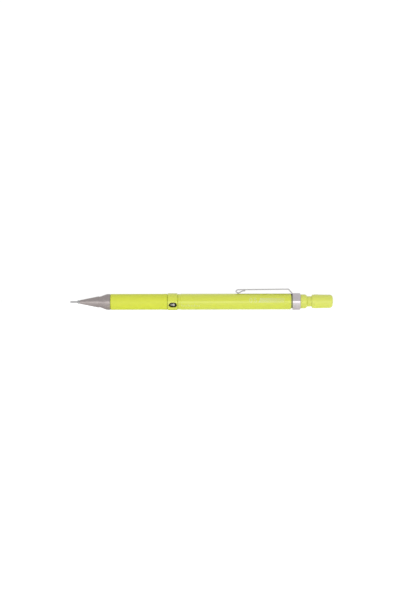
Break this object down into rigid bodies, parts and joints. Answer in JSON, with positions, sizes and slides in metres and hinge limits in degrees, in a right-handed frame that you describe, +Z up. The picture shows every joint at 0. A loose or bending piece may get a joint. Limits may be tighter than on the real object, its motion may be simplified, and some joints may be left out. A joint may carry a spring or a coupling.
{
  "type": "mechanical pencil",
  "caption": "Click-advance drafting pencil with a fixed lead sleeve, a turning lead-grade ring, a spring pocket clip and a push cap over an eraser.",
  "frame": {"origin": "on the surface that the pencil lies on, under the middle of its length and of its width", "axes": "+X along the pencil from the tip to the push cap, +Y across it, +Z up, from the surface through the axis to the clip"},
  "size_m": [0.143, 0.0094, 0.0117],
  "materials": {
    "lime_satin": "satin lime green, smooth",
    "lime_gloss": "polished lime green",
    "satin_nickel": "warm satin nickel, finely turned",
    "steel": "bare drawn steel",
    "clip_steel": "bright rolled spring steel",
    "chrome": "polished chrome",
    "black_rubber": "black rubber",
    "black_print": "black with white lead grades",
    "brass": "machined brass",
    "inner_plastic": "natural moulded plastic",
    "clear_tube": "clear extruded tube",
    "spring_steel": "drawn spring wire",
    "eraser_rubber": "white eraser rubber",
    "graphite": "dark grey lead"
  },
  "bodies": {
    "barrel": {"front_barrel": "lime_satin", "thread_insert": "brass", "chuck_housing": "inner_plastic", "chuck_spring": "spring_steel", "barrel_joiner": "inner_plastic", "grade_scale": "black_print", "rear_barrel": "lime_gloss", "clip_collar": "clip_steel", "clip_band": "chrome", "end_bush": "lime_gloss"},
    "nose": {"nose_cone": "satin_nickel", "tip_bush": "steel", "lead_sleeve": "steel", "lead_retainer": "black_rubber"},
    "plunger": {"chuck": "brass", "tube_coupling": "inner_plastic", "lead_tube": "clear_tube", "push_tube": "lime_gloss", "eraser": "eraser_rubber"},
    "clutch": {"chuck_ring": "brass"},
    "feeding_lead": {"lead": "graphite"},
    "spare_lead_set": {"spare_leads": "graphite"},
    "cap": {"push_cap": "lime_gloss"},
    "indicator": {"grade_ring": "lime_gloss"},
    "pocket_clip": {"clip": "clip_steel"}
  },
  "joints": [
    {"name": "push_slide", "type": "slide", "parent": "barrel", "child": "plunger", "axis": [-1, 0, 0], "range_m": [0, 0.0024], "stiffness_N_per_m": 1200, "deforming": ["chuck_spring"]},
    {"name": "clutch_slide", "type": "slide", "parent": "barrel", "child": "clutch", "axis": [-1, 0, 0], "range_m": [0, 0.0008]},
    {"name": "lead_feed", "type": "slide", "parent": "clutch", "child": "feeding_lead", "axis": [-1, 0, 0], "range_m": [0, 0.005]},
    {"name": "spare_lead_slide", "type": "slide", "parent": "plunger", "child": "spare_lead_set", "axis": [1, 0, 0], "range_m": [-0.015, 0.008]},
    {"name": "cap_pull", "type": "slide", "parent": "plunger", "child": "cap", "axis": [1, 0, 0], "range_m": [0, 0.03]},
    {"name": "nose_pull", "type": "slide", "parent": "barrel", "child": "nose", "axis": [-1, 0, 0], "range_m": [0, 0.03]},
    {"name": "indicator_spin", "type": "hinge", "parent": "barrel", "child": "indicator", "pos_m": [-0.01565, 0, 0.0047], "axis": [1, 0, 0], "continuous": true},
    {"name": "clip_flex", "type": "hinge", "parent": "barrel", "child": "pocket_clip", "pos_m": [0.04905, 0, 0.0089], "axis": [0, 1, 0], "range_deg": [0, 4], "stiffness_Nm_per_rad": 1.8}
  ],
  "couplings": [
    {"joint": "clutch_slide", "follows": "push_slide", "ratio": 0.33333}
  ]
}
